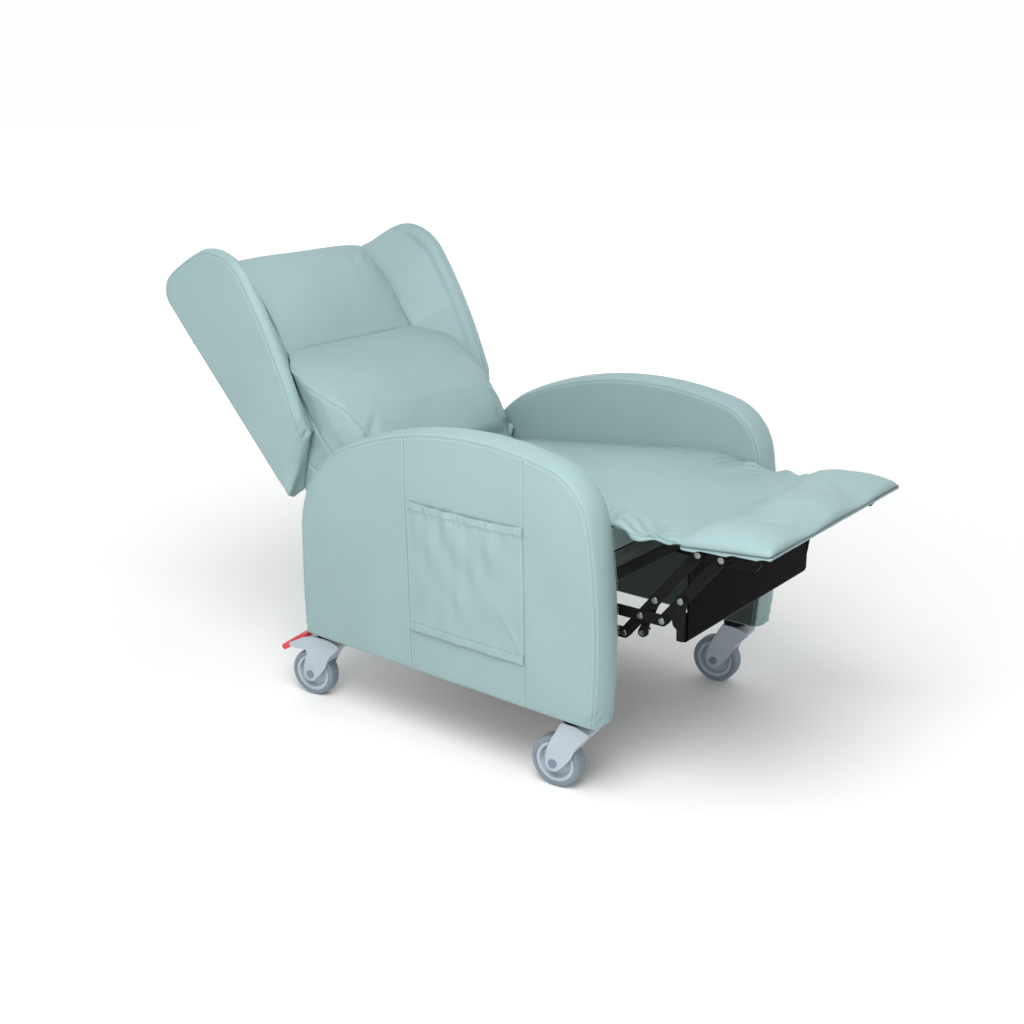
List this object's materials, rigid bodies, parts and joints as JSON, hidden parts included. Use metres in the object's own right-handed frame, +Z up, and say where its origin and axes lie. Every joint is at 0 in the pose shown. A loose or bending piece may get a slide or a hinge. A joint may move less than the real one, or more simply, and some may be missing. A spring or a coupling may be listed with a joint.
{
  "type": "reclining armchair",
  "caption": "Wing-back reclining armchair on swivel casters, shown reclined with its padded leg rest out, upholstered in pale mint faux leather.",
  "frame": {"origin": "on the floor, in the middle plane, under the middle of the arms", "axes": "+Z up, +Y to the rear, so the sitter looks along -Y; +X to the sitter's left"},
  "size_m": [0.647, 1.4169, 0.9159],
  "materials": {
    "upholstery": "pale mint faux leather, satin, fine grain",
    "wood": "bare plywood and softwood, lined underneath with grey cloth",
    "webbing": "woven elastic webbing",
    "black_steel": "black powder coat, satin",
    "zinc": "bright zinc plate",
    "black_board": "black gloss",
    "caster_housing": "light blue-grey moulded plastic",
    "caster_rim": "light blue-grey moulded plastic",
    "tyre": "slate grey rubber",
    "red_plastic": "red moulded plastic"
  },
  "bodies": {
    "base": {"arm_board_left": "wood", "arm_board_right": "wood", "arm_pad_left": "upholstery", "arm_pad_right": "upholstery", "back_hinge_pins": "zinc", "caster_heads": "black_steel", "front_tube": "black_steel", "magazine_pocket": "upholstery", "plate_bolts": "zinc", "rear_tube": "black_steel", "seat_cushion": "upholstery", "seat_rails": "wood", "seat_webbing": "webbing", "side_plate_left": "black_steel", "side_plate_right": "black_steel"},
    "leg_rest": {"leg_rest_board": "wood", "leg_rest_brackets": "black_steel", "leg_rest_flap": "upholstery", "leg_rest_pad": "upholstery", "leg_rest_rivets": "zinc"},
    "upper_rockers": {"upper_rocker_left": "black_steel", "upper_rocker_right": "black_steel", "upper_rocker_rivets": "zinc"},
    "lower_rockers": {"lower_rocker_left": "black_steel", "lower_rocker_right": "black_steel", "lower_rocker_rivets": "zinc"},
    "long_links": {"long_link_left": "black_steel", "long_link_right": "black_steel", "long_link_stops": "black_steel"},
    "short_links": {"guard_board": "black_board", "guard_bolts": "zinc", "guard_brackets": "black_steel", "short_link_left": "black_steel", "short_link_right": "black_steel"},
    "backrest": {"back_frame": "wood", "back_hinge_brackets": "black_steel", "back_rear_panel": "upholstery", "head_cushion": "upholstery", "lumbar_cushion": "upholstery", "wing_left": "upholstery", "wing_right": "upholstery"},
    "caster_front_right": {"caster_fork_front_right": "caster_housing"},
    "wheel_front_right": {"caster_tyre_front_right": "tyre", "caster_rim_front_right": "caster_rim", "caster_axle_front_right": "zinc"},
    "caster_front_left": {"caster_fork_front_left": "caster_housing"},
    "wheel_front_left": {"caster_tyre_front_left": "tyre", "caster_rim_front_left": "caster_rim", "caster_axle_front_left": "zinc"},
    "caster_rear_right": {"caster_fork_rear_right": "caster_housing"},
    "wheel_rear_right": {"caster_tyre_rear_right": "tyre", "caster_rim_rear_right": "caster_rim", "caster_axle_rear_right": "zinc"},
    "brake_rear_right": {"brake_pedal_rear_right": "red_plastic"},
    "caster_rear_left": {"caster_fork_rear_left": "caster_housing"},
    "wheel_rear_left": {"caster_tyre_rear_left": "tyre", "caster_rim_rear_left": "caster_rim", "caster_axle_rear_left": "zinc"},
    "brake_rear_left": {"brake_pedal_rear_left": "red_plastic"}
  },
  "joints": [
    {"name": "leg_rest_fold", "type": "hinge", "parent": "base", "child": "leg_rest", "pos_m": [0, -0.3385, 0.4764], "axis": [1, 0, 0], "range_deg": [0, 90]},
    {"name": "upper_rocker_turn", "type": "hinge", "parent": "base", "child": "upper_rockers", "pos_m": [0, -0.23007, 0.34392], "axis": [1, 0, 0], "range_deg": [0, 90]},
    {"name": "lower_rocker_turn", "type": "hinge", "parent": "base", "child": "lower_rockers", "pos_m": [0, -0.19669, 0.30314], "axis": [1, 0, 0], "range_deg": [0, 90]},
    {"name": "long_link_turn", "type": "hinge", "parent": "upper_rockers", "child": "long_links", "pos_m": [0, -0.39506, 0.34565], "axis": [1, 0, 0], "range_deg": [-90, 0]},
    {"name": "short_link_turn", "type": "hinge", "parent": "upper_rockers", "child": "short_links", "pos_m": [0, -0.43915, 0.34611], "axis": [1, 0, 0], "range_deg": [-90, 0]},
    {"name": "backrest_recline", "type": "hinge", "parent": "base", "child": "backrest", "pos_m": [0, 0.275, 0.44], "axis": [1, 0, 0], "range_deg": [0, 25]},
    {"name": "swivel_front_right", "type": "hinge", "parent": "base", "child": "caster_front_right", "pos_m": [-0.281, -0.299, 0.13], "axis": [0, 0, 1], "continuous": true},
    {"name": "wheel_spin_front_right", "type": "hinge", "parent": "caster_front_right", "child": "wheel_front_right", "pos_m": [-0.2853, -0.26124, 0.05], "axis": [0.9936, 0.1132, 0], "continuous": true},
    {"name": "swivel_front_left", "type": "hinge", "parent": "base", "child": "caster_front_left", "pos_m": [0.281, -0.299, 0.13], "axis": [0, 0, 1], "continuous": true},
    {"name": "wheel_spin_front_left", "type": "hinge", "parent": "caster_front_left", "child": "wheel_front_left", "pos_m": [0.2767, -0.26124, 0.05], "axis": [0.9936, 0.1132, 0], "continuous": true},
    {"name": "swivel_rear_right", "type": "hinge", "parent": "base", "child": "caster_rear_right", "pos_m": [-0.281, 0.34, 0.13], "axis": [0, 0, 1], "continuous": true},
    {"name": "wheel_spin_rear_right", "type": "hinge", "parent": "caster_rear_right", "child": "wheel_rear_right", "pos_m": [-0.28884, 0.37718, 0.05], "axis": [0.9785, 0.2062, 0], "continuous": true},
    {"name": "brake_rear_right", "type": "hinge", "parent": "caster_rear_right", "child": "brake_rear_right", "pos_m": [-0.29131, 0.38893, 0.124], "axis": [0.9785, 0.2062, 0], "range_deg": [-6, 6]},
    {"name": "swivel_rear_left", "type": "hinge", "parent": "base", "child": "caster_rear_left", "pos_m": [0.281, 0.34, 0.13], "axis": [0, 0, 1], "continuous": true},
    {"name": "wheel_spin_rear_left", "type": "hinge", "parent": "caster_rear_left", "child": "wheel_rear_left", "pos_m": [0.27316, 0.37718, 0.05], "axis": [0.9785, 0.2062, 0], "continuous": true},
    {"name": "brake_rear_left", "type": "hinge", "parent": "caster_rear_left", "child": "brake_rear_left", "pos_m": [0.27069, 0.38893, 0.124], "axis": [0.9785, 0.2062, 0], "range_deg": [-6, 6]}
  ],
  "couplings": [
    {"joint": "upper_rocker_turn", "follows": "leg_rest_fold", "ratio": 1},
    {"joint": "lower_rocker_turn", "follows": "leg_rest_fold", "ratio": 1},
    {"joint": "long_link_turn", "follows": "leg_rest_fold", "ratio": -1},
    {"joint": "short_link_turn", "follows": "leg_rest_fold", "ratio": -1}
  ]
}
